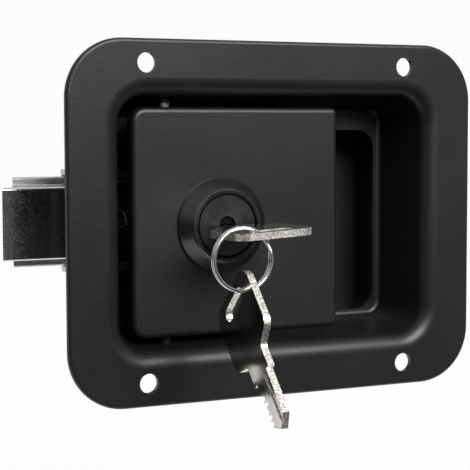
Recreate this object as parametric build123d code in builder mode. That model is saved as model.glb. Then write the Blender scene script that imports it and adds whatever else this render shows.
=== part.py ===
"""Flush paddle latch with a keyed lock, a sprung slam bolt and two keys on a split ring.

Millimetres. X runs to the right along the flange, away from the bolt, Y runs back into the door and
Z runs up. The origin is the middle of the flange's rear face, where the latch sits on the door skin.
"""
from build123d import *
import math
import os

# Pressed pan
SHEET = 1.5
FLANGE_W = 120.65
FLANGE_H = 95.25
FLANGE_R = 15.4
FLANGE_EDGE = 1.0
HOLE_SPACING_X = 77.0
HOLE_SPACING_Z = 82.8
HOLE_D = 5.2
MOUTH_W = 92.7
MOUTH_H = 67.9
MOUTH_R = 8.4
PAN_DEPTH = 19.5
DRAFT = 12.0
BEND_R = 4.5
FLOOR_R = 1.5
WORKS_IN = 6.85
WORKS_OUT = 41.85
WORKS_H = 38.0
POCKET_BAR = 8.5
POCKET_IN = 6.25
POCKET_TOP = 24.0
POCKET_BOTTOM = -28.1
OPENING_R = 5.0

# Rear cover
COVER_SHEET = 1.5
COVER_LAP = 7.5
COVER_ROOM = 14.7
COVER_R = 3.0

# Paddle and its hinge
CENTRE_Z = -0.6
PADDLE_IN = 5.2
PADDLE_Z = -0.15
PADDLE_W = 60.7
PADDLE_H = 60.5
PADDLE_SINK = 4.0
PADDLE_CORNER = 3.8
PADDLE_FREE_CORNER = 1.5
PADDLE_EDGE = 1.4
PADDLE_INNER_R = 2.3
SIDE_DEPTH = 6.0
HEEL_SIDE_DEPTH = 3.5
LIP_DEPTH = 4.0
OPEN_ANGLE = 38.0
PIN_IN = 16.15
PIN_Y = 7.7
PIN_D = 3.5
PIN_RUNNING = 0.05
PIN_STAND_OUT = 3.2
LUG_R = 4.6
CLIP_D = 7.5
CLIP_T = 0.7
CLIP_GROOVE = 0.5
CLIP_SLACK = 0.05
CLIP_NOTCH_R = 0.8
CLIP_NOTCH_AT = 3.15
CLIP_NOTCH_TURNS = (120.0, 240.0)
PIN_END = 0.4

# Arm that carries the paddle's swing to the bolt
ARM_T = 1.8
ARM_HALF_H = 6.2
ARM_IN = 7.45
ARM_OUT = 18.15
ARM_LUG_R = 3.1
FINGER_IN = 10.95
FINGER_Y = 23.2
FINGER_R = 2.5
HEEL_IN = 5.35
HEEL_DEPTH = 2.2
STOP_GAP = 0.3

# Slam bolt
BOLT_REACH = -23.65
BOLT_Y = 22.5
BOLT_T = 2.0
BOLT_H = 19.4
BOLT_DEPTH = 10.0
BRIM_H = 24.4
RAMP_RUN = 6.5
RAMP_T = 2.0
RECESS_IN = -11.65
RECESS_DEPTH = 0.6
RECESS_H = 14.0
WINDOW_H = 13.5
SLAM_GAP = 0.4
END_BAR = 1.9
WEB_EDGE_R = 0.7
BRIM_ROOT_R = 0.9
BRIM_BEND_R = 1.8
BRIM_EDGE_R = 1.0
SEAT_STEP = 0.6
SEAT_H = 12.0

# Guide behind the bolt
GUIDE_SHEET = 1.5
GUIDE_IN = -3.65
GUIDE_OUT = 27.35
SLIDE_GAP = 0.2
GUIDE_SIDE_GAP = 0.4
LIP_GRIP = 1.6
TONGUE_REACH = -11.65
TONGUE_H = 22.0
TONGUE_R = 2.0
GUIDE_BEND_R = 1.2
ANCHOR_H = 12.0
ANCHOR_FRONT = 25.2
SLOT_GAP = 0.3
RIVET_D = 3.2
RIVET_HEAD_D = 4.6
RIVET_HEAD_T = 1.2
RIVET_DOME_R = 0.84
RIVET_IN = (13.35, 22.35)
RIVET_Z = 4.8

# Bolt spring and its rod
SPRING_Y = 28.2
SPRING_D = 6.4
WIRE_D = 0.8
SPRING_TURNS = 11
ROD_D = 3.4
ROD_CLEAR = 1.2
ROD_TIP = 0.5
ROD_TENON_D = 1.7

# Lock
LOCK_IN = 30.35
LOCK_Z = -1.0
BEZEL_D = 25.1
BEZEL_LIP = 0.8
RIM_D = 20.0
RIM_CHAMFER = 0.5
BEZEL_H = 4.3
HEAD_D = 17.0
HEAD_T = 3.2
HEAD_CHAMFER = 0.3
FACE_SINK = 0.2
REST_TURN = 3.0
KEYWAY_DROP = 0.8
BARREL_D = 18.5
BARREL_FLATS = 16.4
BARREL_END = 19.7
PLUG_D = 13.0
PLUG_RUNNING = 0.05
HOLE_GAP = 0.1
PLUG_STEP = 0.1
KEYWAY_REST = 0.4
WASHER_MARGIN = 2.25
WASHER_T = 0.8
NUT_WALL = 1.25
NUT_T = 3.0
TAIL_SIDE = 7.0
TAIL_GAP = 0.05
CAM_T = 2.0
CAM_W = 11.0
CAM_REACH = 17.0
CAM_TIP_R = 2.6
CAM_GAP = 0.4
SCREW_D = 4.0
SCREW_HEAD_D = 7.0
SCREW_HEAD_T = 1.8
SCREW_LENGTH = 6.0
SCREW_FIT = 0.05
SCREW_ROOM = 0.5
SCREW_HEAD_R = 0.7
CROSS_L = 4.2
CROSS_W = 0.9
CROSS_DEPTH = 1.1
WAFER_T = 0.8
WAFER_PITCH = 1.8
WAFER_W = 11.0
WAFER_H = 6.0
WAFER_SLACK = 0.1
FIRST_WAFER = 0.6
FACE_NOTCH_R = 2.3
FACE_NOTCH_DEPTH = 0.9

# Keys and ring
KEY_T = 1.8
BLADE_W = 6.8
BLADE_TIP = 2.4
BOW_W = 22.0
BOW_L = 26.3
BOW_R = 4.3
BOW_SHOULDER = 2.5
BOW_SHOULDER_R = 3.0
NECK_W = 9.6
NECK_L = 6.0
NECK_R = 1.5
KEY_SLOT_W = 3.8
KEY_SLOT_L = 12.0
KEY_SLOT_INSET = 2.4
CUT_DEPTHS = (1.2, 2.0, 0.9, 1.6, 1.1)
CUT_FLAT = 0.9
KEY_GROOVE_W = 1.2
KEY_GROOVE_DEPTH = 0.5
KEYWAY_GAP = 0.15
KEYWAY_ROOM = 1.05
KEY_STAND_OFF = 0.3
KEY_YAW = 3.3
RING_WIRE = 1.0
RING_OD = 16.7
RING_TURN_GAP = 0.05
RING_RELIEF = 0.02
RING_TURNS = 1.98
RING_SIDE = 6.4
RING_DROP = 6.1
HANG_DROP = 0.9
SPARE_LEAN = 44.0

# Places worked out from the sizes
mouth_left = -MOUTH_W / 2
works_left = mouth_left + WORKS_IN
works_right = mouth_left + WORKS_OUT
pin_x = mouth_left + PIN_IN
arm_left = mouth_left + ARM_IN
arm_right = mouth_left + ARM_OUT
finger_x = mouth_left + FINGER_IN
heel_left = mouth_left + HEEL_IN
bolt_tip = mouth_left + BOLT_REACH
recess_left = mouth_left + RECESS_IN
guide_left = mouth_left + GUIDE_IN
guide_right = mouth_left + GUIDE_OUT
tongue_left = mouth_left + TONGUE_REACH
lock_x = mouth_left + LOCK_IN
paddle_left = mouth_left + PADDLE_IN
paddle_right = paddle_left + PADDLE_W
paddle_x = (paddle_left + paddle_right) / 2
rivet_x = [mouth_left + inset for inset in RIVET_IN]
ring_x = lock_x - RING_SIDE
pocket_left = works_right + POCKET_BAR
pocket_right = MOUTH_W / 2 - POCKET_IN
front_y = -SHEET
floor_front = front_y + PAN_DEPTH
floor_rear = floor_front + SHEET
wall_slope = math.tan(math.radians(DRAFT))
wall_sheet = SHEET / math.cos(math.radians(DRAFT))
cover_inner = floor_rear + COVER_ROOM
cover_outer = cover_inner + COVER_SHEET
paddle_front = front_y + PADDLE_SINK
paddle_rear = paddle_front + SHEET
pin_bore = PIN_D + 2 * PIN_RUNNING
open_turn = math.radians(OPEN_ANGLE)
bolt_travel = (finger_x - pin_x) * (math.cos(open_turn) - 1) + (FINGER_Y - PIN_Y) * math.sin(open_turn)
window_right = finger_x + FINGER_R + STOP_GAP
window_left = finger_x - FINGER_R - bolt_travel - SLAM_GAP
bolt_right = window_right + END_BAR
brim_rear = BOLT_Y + BOLT_DEPTH
brim_front = brim_rear - BOLT_T
guide_front = brim_rear + SLIDE_GAP
guide_inner_h = BRIM_H + 2 * GUIDE_SIDE_GAP
guide_outer_h = guide_inner_h + 2 * GUIDE_SHEET
lip_rear = brim_front - SLIDE_GAP
spring_left = window_left
spring_right = guide_right - GUIDE_SHEET
rod_length = spring_right - spring_left - bolt_travel - ROD_CLEAR
bezel_front = paddle_front - BEZEL_H
plug_front = bezel_front + FACE_SINK
plug_end = BARREL_END - PLUG_STEP
cam_front = floor_rear + CAM_GAP
cam_rear = cam_front + CAM_T
key_shoulder = plug_front - KEY_STAND_OFF
first_wafer = plug_front + HEAD_T + FIRST_WAFER
cut_start = first_wafer + (WAFER_T - WAFER_PITCH) / 2 - key_shoulder
cuts_end = cut_start + len(CUT_DEPTHS) * WAFER_PITCH
blade_length = cuts_end + BLADE_TIP
keyway_w = BLADE_W + 2 * KEYWAY_ROOM
keyway_h = KEY_T + 2 * KEYWAY_GAP
slot_at = KEY_SLOT_INSET + KEY_SLOT_W / 2 - BOW_L
slot_centre = key_shoulder + blade_length / 2 - (blade_length / 2 - slot_at) * math.cos(math.radians(KEY_YAW))


def facing(depth):
    """Plane parallel to the flange, at this depth behind its rear face; local Y is up."""
    return Plane.XZ.offset(-depth)


def lock_face(depth):
    """Plane across the lock's axis at a depth, turned as the plug rests; local Y is up."""
    turn = math.radians(REST_TURN)
    return Plane(
        origin=(lock_x, depth, LOCK_Z), x_dir=(math.cos(turn), 0, math.sin(turn)), z_dir=(0, -1, 0)
    )


def wall_size(depth, grow):
    """Width and height of the drafted pan wall at a depth, grown by one wall on every side."""
    inset = 2 * wall_slope * (depth - front_y)
    return MOUTH_W - inset + 2 * grow, MOUTH_H - inset + 2 * grow


def wall_outline(depth, grow):
    """Sketch of the drafted wall at a depth, with its rounded corners."""
    width, height = wall_size(depth, grow)
    with BuildSketch(facing(depth)) as outline:
        RectangleRounded(width, height, MOUTH_R - wall_slope * (depth - front_y) + grow)
    return outline.sketch


def finish(body, label):
    """Name a piece and write it."""
    body.label = label
    export_step(body, f"parts/{label}.step")
    print(label, round(body.volume, 1))


os.makedirs("parts", exist_ok=True)


# ---------------------------------------------------------------- pan
with BuildPart() as pan:
    with BuildSketch(facing(0)):
        RectangleRounded(FLANGE_W, FLANGE_H, FLANGE_R)
    extrude(amount=SHEET)
    loft([wall_outline(front_y, wall_sheet), wall_outline(floor_rear, wall_sheet)])
    rear_root = pan.edges().filter_by_position(Axis.Y, -0.01, 0.01).filter_by(
        lambda edge: abs(edge.center().X) < MOUTH_W / 2 + BEND_R and abs(edge.center().Z) < MOUTH_H / 2 + BEND_R
    )
    fillet(rear_root, BEND_R - SHEET)
    fillet(pan.faces().sort_by(Axis.Y)[-1].outer_wire().edges(), FLOOR_R + SHEET)
    loft([wall_outline(front_y, 0), wall_outline(floor_front, 0)], mode=Mode.SUBTRACT)
    floor_inside = pan.faces().filter_by(Axis.Y).filter_by_position(Axis.Y, floor_front - 0.01, floor_front + 0.01)
    fillet(floor_inside[0].outer_wire().edges(), FLOOR_R)
    front_face = pan.faces().filter_by(Axis.Y).sort_by(Axis.Y)[0]
    fillet(front_face.inner_wires()[0].edges(), BEND_R)
    fillet(pan.faces().filter_by(Axis.Y).sort_by(Axis.Y)[0].outer_wire().edges(), FLANGE_EDGE)
    with BuildSketch(facing(front_y)):
        with GridLocations(HOLE_SPACING_X, HOLE_SPACING_Z, 2, 2):
            Circle(HOLE_D / 2)
    extrude(amount=-SHEET, mode=Mode.SUBTRACT)
    with BuildSketch(facing(floor_front)):
        with Locations(((works_left + works_right) / 2, CENTRE_Z)):
            RectangleRounded(works_right - works_left, WORKS_H, OPENING_R)
        with Locations(((pocket_left + pocket_right) / 2, (POCKET_TOP + POCKET_BOTTOM) / 2)):
            RectangleRounded(pocket_right - pocket_left, POCKET_TOP - POCKET_BOTTOM, OPENING_R)
    extrude(amount=-SHEET, mode=Mode.SUBTRACT)
    with BuildSketch(Plane.XY):
        with Locations((pin_x, PIN_Y)):
            Circle(pin_bore / 2)
    extrude(amount=FLANGE_H / 2, both=True, mode=Mode.SUBTRACT)
finish(pan.part, "pan")


# ---------------------------------------------------------------- rear cover
lap_front = floor_rear - COVER_LAP
cover_grow = wall_sheet + COVER_SHEET
with BuildPart() as rear_cover:
    loft([wall_outline(lap_front, cover_grow), wall_outline(floor_rear, cover_grow)])
    extrude(wall_outline(floor_rear, cover_grow), amount=-(cover_outer - floor_rear))
    fillet(rear_cover.faces().sort_by(Axis.Y)[-1].outer_wire().edges(), COVER_R)
    loft([wall_outline(lap_front, wall_sheet), wall_outline(floor_rear, wall_sheet)], mode=Mode.SUBTRACT)
    extrude(wall_outline(floor_rear, wall_sheet), amount=-(cover_inner - floor_rear), mode=Mode.SUBTRACT)
    with BuildSketch(Plane.YZ.offset(COVER_R - wall_size(floor_rear, wall_sheet)[0] / 2)):
        with Locations(((BOLT_Y - SLOT_GAP + cover_inner) / 2, CENTRE_Z)):
            Rectangle(cover_inner - BOLT_Y + SLOT_GAP, guide_outer_h + 2 * SLOT_GAP)
    extrude(amount=-MOUTH_W / 2, mode=Mode.SUBTRACT)
    with BuildSketch(facing(cover_inner)):
        with Locations(*[(x, CENTRE_Z + side * RIVET_Z) for x in rivet_x for side in (1, -1)]):
            Circle(RIVET_D / 2)
    extrude(amount=-COVER_SHEET, mode=Mode.SUBTRACT)
finish(rear_cover.part, "rear_cover")


# ---------------------------------------------------------------- bolt guide
with BuildPart() as bolt_guide:
    with BuildSketch(Plane.YZ.offset(guide_left)):
        lip_front = lip_rear - GUIDE_SHEET
        with Locations((guide_front + GUIDE_SHEET / 2, CENTRE_Z)):
            Rectangle(GUIDE_SHEET, guide_outer_h)
        for side in (1, -1):
            with Locations(
                ((lip_front + guide_front) / 2, CENTRE_Z + side * (guide_outer_h - GUIDE_SHEET) / 2)
            ):
                Rectangle(guide_front - lip_front, GUIDE_SHEET)
            with Locations(
                ((lip_front + lip_rear) / 2, CENTRE_Z + side * (guide_outer_h - GUIDE_SHEET - LIP_GRIP) / 2)
            ):
                Rectangle(GUIDE_SHEET, GUIDE_SHEET + LIP_GRIP)
        outer_corners = vertices().filter_by(
            lambda corner: abs(abs(corner.Z - CENTRE_Z) - guide_outer_h / 2) < 0.01
        )
        fillet(outer_corners, GUIDE_BEND_R)
    extrude(amount=guide_right - guide_left)
    with BuildSketch(facing(guide_front)):
        with Locations(((tongue_left + guide_left) / 2, CENTRE_Z)):
            Rectangle(guide_left - tongue_left, TONGUE_H)
        fillet(vertices().group_by(Axis.X)[0], TONGUE_R)
    extrude(amount=-GUIDE_SHEET)
    with BuildSketch(Plane.XY.offset(CENTRE_Z)):
        with Locations((guide_right - GUIDE_SHEET / 2, (ANCHOR_FRONT + guide_front) / 2)):
            Rectangle(GUIDE_SHEET, guide_front - ANCHOR_FRONT)
    extrude(amount=ANCHOR_H / 2, both=True)
    with BuildSketch(Plane.YZ.offset(guide_right)):
        with Locations((SPRING_Y, CENTRE_Z)):
            Circle(ROD_TENON_D / 2)
    extrude(amount=-GUIDE_SHEET, mode=Mode.SUBTRACT)
    with BuildSketch(facing(guide_front)):
        with Locations(*[(x, CENTRE_Z + side * RIVET_Z) for x in rivet_x for side in (1, -1)]):
            Circle(RIVET_D / 2)
    extrude(amount=-GUIDE_SHEET, mode=Mode.SUBTRACT)
finish(bolt_guide.part, "bolt_guide")


# ---------------------------------------------------------------- guide rivets
with BuildPart() as guide_rivets:
    for x in rivet_x:
        for side in (1, -1):
            spot = (x, CENTRE_Z + side * RIVET_Z)
            with BuildSketch(facing(guide_front)):
                with Locations(spot):
                    Circle(RIVET_D / 2)
            extrude(amount=-(GUIDE_SHEET + COVER_SHEET))
            with BuildSketch(facing(guide_front)):
                with Locations(spot):
                    Circle(RIVET_HEAD_D / 2)
            extrude(amount=RIVET_HEAD_T)
            with BuildSketch(facing(cover_outer)):
                with Locations(spot):
                    Circle(RIVET_HEAD_D / 2)
            extrude(amount=-RIVET_HEAD_T)
    domes = guide_rivets.edges().filter_by(GeomType.CIRCLE).filter_by(
        lambda edge: abs(edge.radius - RIVET_HEAD_D / 2) < 0.01
    )
    rims = domes.group_by(Axis.Y)[0] + domes.group_by(Axis.Y)[-1]
    fillet(rims, RIVET_DOME_R)
finish(guide_rivets.part, "guide_rivets")


# ---------------------------------------------------------------- slam bolt
with BuildPart() as bolt:
    with BuildSketch(Plane.YZ.offset(bolt_tip)):
        with Locations((BOLT_Y + BOLT_T / 2, CENTRE_Z)):
            Rectangle(BOLT_T, BOLT_H)
        for side in (1, -1):
            with Locations((BOLT_Y + BOLT_DEPTH / 2, CENTRE_Z + side * (BOLT_H - BOLT_T) / 2)):
                Rectangle(BOLT_DEPTH, BOLT_T)
            with Locations(
                (brim_rear - BOLT_T / 2, CENTRE_Z + side * (BRIM_H + BOLT_H - 2 * BOLT_T) / 4)
            ):
                Rectangle(BOLT_T, (BRIM_H - BOLT_H) / 2 + BOLT_T)
        web_corners = vertices().filter_by(lambda corner: corner.Y < BOLT_Y + 0.01)
        fillet(web_corners, WEB_EDGE_R)
        brim_roots = vertices().filter_by(
            lambda corner: abs(abs(corner.Z - CENTRE_Z) - BOLT_H / 2) < 0.01 and corner.Y > brim_front - 0.01
        )
        fillet(brim_roots, BRIM_ROOT_R)
        brim_bends = vertices().filter_by(
            lambda corner: abs(abs(corner.Z - CENTRE_Z) - (BOLT_H / 2 - BOLT_T)) < 0.01
            and corner.Y > brim_rear - 0.01
        )
        fillet(brim_bends, BRIM_BEND_R)
        brim_edges = vertices().filter_by(
            lambda corner: abs(abs(corner.Z - CENTRE_Z) - BRIM_H / 2) < 0.01 and corner.Y < brim_front + 0.01
        )
        fillet(brim_edges, BRIM_EDGE_R)
    extrude(amount=bolt_right - bolt_tip)
    with BuildSketch(Plane.XY.offset(CENTRE_Z)):
        with BuildLine():
            Polyline(
                (bolt_tip, BOLT_Y),
                (bolt_tip + RAMP_RUN, brim_rear),
                (bolt_tip - RAMP_RUN, brim_rear),
                (bolt_tip - RAMP_RUN, BOLT_Y),
                close=True,
            )
        make_face()
    extrude(amount=BRIM_H, both=True, mode=Mode.SUBTRACT)
    with BuildSketch(Plane.XY.offset(CENTRE_Z)):
        with BuildLine():
            Polyline(
                (bolt_tip, BOLT_Y),
                (bolt_tip + RAMP_RUN, brim_rear),
                (bolt_tip + RAMP_RUN + RAMP_T, brim_rear),
                (bolt_tip + RAMP_T, BOLT_Y),
                close=True,
            )
        make_face()
    extrude(amount=(BOLT_H - BOLT_T) / 2, both=True)
    with BuildSketch(facing(BOLT_Y)):
        with Locations(((recess_left + bolt_right) / 2, CENTRE_Z)):
            Rectangle(bolt_right - recess_left, RECESS_H)
    extrude(amount=-RECESS_DEPTH, mode=Mode.SUBTRACT)
    with BuildSketch(facing(BOLT_Y)):
        with Locations(((window_left + window_right) / 2, CENTRE_Z)):
            Rectangle(window_right - window_left, WINDOW_H)
    extrude(amount=-BOLT_T, mode=Mode.SUBTRACT)
    with BuildSketch(Plane.YZ.offset(window_left)):
        with Locations(((BOLT_Y + RECESS_DEPTH + brim_rear - SEAT_STEP) / 2, CENTRE_Z)):
            Rectangle(brim_rear - SEAT_STEP - BOLT_Y - RECESS_DEPTH, SEAT_H)
    extrude(amount=-BOLT_T)
finish(bolt.part, "bolt")


# ---------------------------------------------------------------- bolt spring and rod
with BuildPart() as bolt_spring:
    coil_run = spring_right - spring_left - WIRE_D
    with BuildLine():
        coil = Helix(
            pitch=coil_run / SPRING_TURNS,
            height=coil_run,
            radius=(SPRING_D - WIRE_D) / 2,
            center=(spring_left + WIRE_D / 2, SPRING_Y, CENTRE_Z),
            direction=(1, 0, 0),
        )
    with BuildSketch(Plane(origin=coil @ 0, z_dir=coil % 0)):
        Circle(WIRE_D / 2)
    sweep(path=coil, is_frenet=True)
finish(bolt_spring.part, "bolt_spring")

with BuildPart() as spring_rod:
    with BuildSketch(Plane.YZ.offset(spring_right)):
        with Locations((SPRING_Y, CENTRE_Z)):
            Circle(ROD_D / 2)
    extrude(amount=-rod_length)
    chamfer(spring_rod.faces().sort_by(Axis.X)[0].edges(), ROD_TIP)
    with BuildSketch(Plane.YZ.offset(spring_right)):
        with Locations((SPRING_Y, CENTRE_Z)):
            Circle(ROD_TENON_D / 2)
    extrude(amount=GUIDE_SHEET)
finish(spring_rod.part, "spring_rod")


# ---------------------------------------------------------------- paddle
lug_rear = PIN_Y + LUG_R
with BuildPart() as paddle:
    with BuildSketch(facing(paddle_front)):
        with Locations((paddle_x, PADDLE_Z)):
            Rectangle(PADDLE_W, PADDLE_H)
        fillet(vertices().group_by(Axis.X)[0], PADDLE_CORNER)
        fillet(vertices().group_by(Axis.X)[-1], PADDLE_FREE_CORNER)
    extrude(amount=-(lug_rear - paddle_front))
    fillet(paddle.faces().sort_by(Axis.Y)[0].outer_wire().edges(), PADDLE_EDGE)
    with BuildSketch(facing(paddle_rear)):
        with Locations((paddle_x, PADDLE_Z)):
            RectangleRounded(PADDLE_W - 2 * SHEET, PADDLE_H - 2 * SHEET, PADDLE_INNER_R)
    extrude(amount=-(lug_rear - paddle_rear), mode=Mode.SUBTRACT)
    with BuildSketch(Plane.XY.offset(CENTRE_Z)):
        with Locations((paddle_x, paddle_front + SIDE_DEPTH + PADDLE_W / 2)):
            Rectangle(2 * PADDLE_W, PADDLE_W)
        with Locations((pin_x - PADDLE_W / 2, paddle_front + HEEL_SIDE_DEPTH + PADDLE_W / 2)):
            Rectangle(PADDLE_W, PADDLE_W)
        with Locations((pin_x, PIN_Y)):
            Circle(LUG_R, mode=Mode.SUBTRACT)
    extrude(amount=PADDLE_H, both=True, mode=Mode.SUBTRACT)
    with BuildSketch(Plane.YZ.offset(paddle_right)):
        with Locations((paddle_front + LIP_DEPTH + PADDLE_H / 2, PADDLE_Z)):
            Rectangle(PADDLE_H, PADDLE_H - 2 * PADDLE_CORNER)
    extrude(amount=-2 * SHEET, mode=Mode.SUBTRACT)
    with BuildSketch(Plane.XY):
        with Locations((pin_x, PIN_Y)):
            Circle(pin_bore / 2)
    extrude(amount=PADDLE_H, both=True, mode=Mode.SUBTRACT)
    with BuildSketch(facing(paddle_front)):
        with Locations((lock_x, LOCK_Z)):
            Circle(BARREL_D / 2 + HOLE_GAP)
            Rectangle(BARREL_D + 1, BARREL_FLATS + 2 * HOLE_GAP, mode=Mode.INTERSECT)
    extrude(amount=-SHEET, mode=Mode.SUBTRACT)
finish(paddle.part, "paddle")


# ---------------------------------------------------------------- hinge pin and clips
pin_half = MOUTH_H / 2 + PIN_STAND_OUT - wall_slope * (PIN_Y - front_y) + wall_sheet
groove_at = pin_half - 2 * CLIP_T
with BuildPart() as hinge_pin:
    with BuildSketch(Plane.XY):
        with Locations((pin_x, PIN_Y)):
            Circle(PIN_D / 2)
    extrude(amount=pin_half, both=True)
    chamfer(hinge_pin.edges().filter_by(GeomType.CIRCLE), PIN_END)
    for side in (1, -1):
        with BuildSketch(Plane.XY.offset(side * groove_at)):
            with Locations((pin_x, PIN_Y)):
                Circle(PIN_D / 2)
                Circle(PIN_D / 2 - CLIP_GROOVE, mode=Mode.SUBTRACT)
        extrude(amount=CLIP_T / 2, both=True, mode=Mode.SUBTRACT)
finish(hinge_pin.part, "hinge_pin")

for name, side in (("upper_pin_clip", 1), ("lower_pin_clip", -1)):
    with BuildPart() as clip:
        with BuildSketch(Plane.XY.offset(side * groove_at)):
            with Locations((pin_x, PIN_Y)):
                Circle(CLIP_D / 2)
                Circle(PIN_D / 2 - CLIP_GROOVE, mode=Mode.SUBTRACT)
            with Locations((pin_x + CLIP_D / 2, PIN_Y)):
                Rectangle(CLIP_D, PIN_D - 2 * CLIP_GROOVE - 4 * CLIP_SLACK, mode=Mode.SUBTRACT)
            for turn in CLIP_NOTCH_TURNS:
                notch = Vector(CLIP_NOTCH_AT, 0).rotate(Axis.Z, turn)
                with Locations((pin_x + notch.X, PIN_Y + notch.Y)):
                    Circle(CLIP_NOTCH_R, mode=Mode.SUBTRACT)
        extrude(amount=CLIP_T / 2 - CLIP_SLACK, both=True)
    finish(clip.part, name)


# ---------------------------------------------------------------- paddle arm
with BuildPart() as paddle_arm:
    with BuildSketch(facing(paddle_rear)):
        with Locations(((arm_left + arm_right) / 2, CENTRE_Z)):
            Rectangle(arm_right - arm_left, 2 * ARM_HALF_H)
    extrude(amount=-ARM_T)
    for side in (1, -1):
        ear = CENTRE_Z + side * ARM_HALF_H
        with BuildSketch(Plane.XY.offset(ear)):
            with Locations(((arm_left + pin_x) / 2, (paddle_rear + PIN_Y + ARM_LUG_R) / 2)):
                Rectangle(pin_x - arm_left, PIN_Y + ARM_LUG_R - paddle_rear)
            with Locations((pin_x, PIN_Y)):
                Circle(ARM_LUG_R)
            with Locations(((pin_x + arm_right) / 2, (paddle_rear + PIN_Y) / 2)):
                Rectangle(arm_right - pin_x, PIN_Y - paddle_rear)
            with Locations((finger_x, (paddle_rear + FINGER_Y) / 2)):
                Rectangle(2 * FINGER_R, FINGER_Y - paddle_rear)
            with Locations((finger_x, FINGER_Y)):
                Circle(FINGER_R)
            with Locations(((heel_left + finger_x) / 2, floor_rear + STOP_GAP + HEEL_DEPTH / 2)):
                Rectangle(finger_x - heel_left, HEEL_DEPTH)
            with Locations((pin_x, PIN_Y)):
                Circle(pin_bore / 2, mode=Mode.SUBTRACT)
        extrude(amount=-side * ARM_T)
finish(paddle_arm.part, "paddle_arm")


# ---------------------------------------------------------------- lock body
lock_axis = Plane(origin=(lock_x, 0, LOCK_Z), x_dir=(1, 0, 0), z_dir=(0, 0, 1))
lock_line = Axis((lock_x, 0, LOCK_Z), (0, 1, 0))
with BuildPart() as lock_body:
    with BuildSketch(lock_axis):
        with BuildLine():
            Polyline(
                (PLUG_D / 2 + PLUG_RUNNING, BARREL_END),
                (BARREL_D / 2, BARREL_END),
                (BARREL_D / 2, paddle_front),
                (BEZEL_D / 2, paddle_front),
                (BEZEL_D / 2, paddle_front - BEZEL_LIP),
                (RIM_D / 2, bezel_front + RIM_CHAMFER),
                (RIM_D / 2 - RIM_CHAMFER, bezel_front),
                (HEAD_D / 2 + PLUG_RUNNING, bezel_front),
                (HEAD_D / 2 + PLUG_RUNNING, plug_front + HEAD_T),
                (PLUG_D / 2 + PLUG_RUNNING, plug_front + HEAD_T),
                close=True,
            )
        make_face()
    revolve(axis=lock_line)
    for side in (1, -1):
        with BuildSketch(facing(paddle_front)):
            with Locations((lock_x, LOCK_Z + side * (BARREL_FLATS + BARREL_D) / 2)):
                Rectangle(BARREL_D, BARREL_D)
        extrude(amount=-(BARREL_END - paddle_front), mode=Mode.SUBTRACT)
finish(lock_body.part, "lock_body")


# ---------------------------------------------------------------- lock washer and nut
with BuildPart() as lock_washer:
    with BuildSketch(facing(paddle_rear)):
        with Locations((lock_x, LOCK_Z)):
            Circle(BARREL_D / 2 + WASHER_MARGIN)
    extrude(amount=-WASHER_T)
    with BuildSketch(facing(paddle_rear)):
        with Locations((lock_x, LOCK_Z)):
            Circle(BARREL_D / 2 + HOLE_GAP)
            Rectangle(BARREL_D + 1, BARREL_FLATS + 2 * HOLE_GAP, mode=Mode.INTERSECT)
    extrude(amount=-WASHER_T, mode=Mode.SUBTRACT)
finish(lock_washer.part, "lock_washer")

with BuildPart() as lock_nut:
    with BuildSketch(facing(paddle_rear + WASHER_T)):
        with Locations((lock_x, LOCK_Z)):
            RegularPolygon(BARREL_D / 2 + NUT_WALL, 6, major_radius=False, rotation=30)
            Circle(BARREL_D / 2 + HOLE_GAP / 2, mode=Mode.SUBTRACT)
    extrude(amount=-NUT_T)
finish(lock_nut.part, "lock_nut")


# ---------------------------------------------------------------- lock plug
with BuildPart() as lock_plug:
    with BuildSketch(lock_axis):
        with BuildLine():
            Polyline(
                (0, plug_front),
                (HEAD_D / 2 - HEAD_CHAMFER, plug_front),
                (HEAD_D / 2, plug_front + HEAD_CHAMFER),
                (HEAD_D / 2, plug_front + HEAD_T),
                (PLUG_D / 2, plug_front + HEAD_T),
                (PLUG_D / 2, plug_end),
                (0, plug_end),
                close=True,
            )
        make_face()
    revolve(axis=lock_line)
    with BuildSketch(lock_face(plug_end)):
        Rectangle(TAIL_SIDE, TAIL_SIDE)
    extrude(amount=-(cam_rear - plug_end))
    with BuildSketch(lock_face(cam_rear)):
        Circle(SCREW_D / 2)
    extrude(amount=SCREW_LENGTH, mode=Mode.SUBTRACT)
    with BuildSketch(lock_face(plug_front)):
        with Locations((0, -KEYWAY_DROP)):
            Rectangle(keyway_w, keyway_h)
    extrude(amount=-(blade_length - KEY_STAND_OFF + KEYWAY_REST), mode=Mode.SUBTRACT)
    with BuildSketch(lock_face(plug_front)):
        with Locations((0, keyway_h / 2 - KEYWAY_DROP)):
            Circle(FACE_NOTCH_R)
            with Locations((0, -FACE_NOTCH_R)):
                Rectangle(2 * FACE_NOTCH_R, 2 * FACE_NOTCH_R, mode=Mode.SUBTRACT)
    extrude(amount=-FACE_NOTCH_DEPTH, mode=Mode.SUBTRACT)
    for index in range(len(CUT_DEPTHS)):
        wafer_front = first_wafer + index * WAFER_PITCH
        with BuildSketch(lock_face(wafer_front - WAFER_SLACK)):
            Rectangle(PLUG_D, WAFER_H + 2 * WAFER_SLACK)
        extrude(amount=-(WAFER_T + 2 * WAFER_SLACK), mode=Mode.SUBTRACT)
finish(lock_plug.part, "lock_plug")

with BuildPart() as lock_wafers:
    for index in range(len(CUT_DEPTHS)):
        with BuildSketch(lock_face(first_wafer + index * WAFER_PITCH)):
            Rectangle(WAFER_W, WAFER_H)
            with Locations((0, -KEYWAY_DROP)):
                Rectangle(keyway_w, keyway_h, mode=Mode.SUBTRACT)
        extrude(amount=-WAFER_T)
finish(lock_wafers.part, "lock_wafers")


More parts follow.
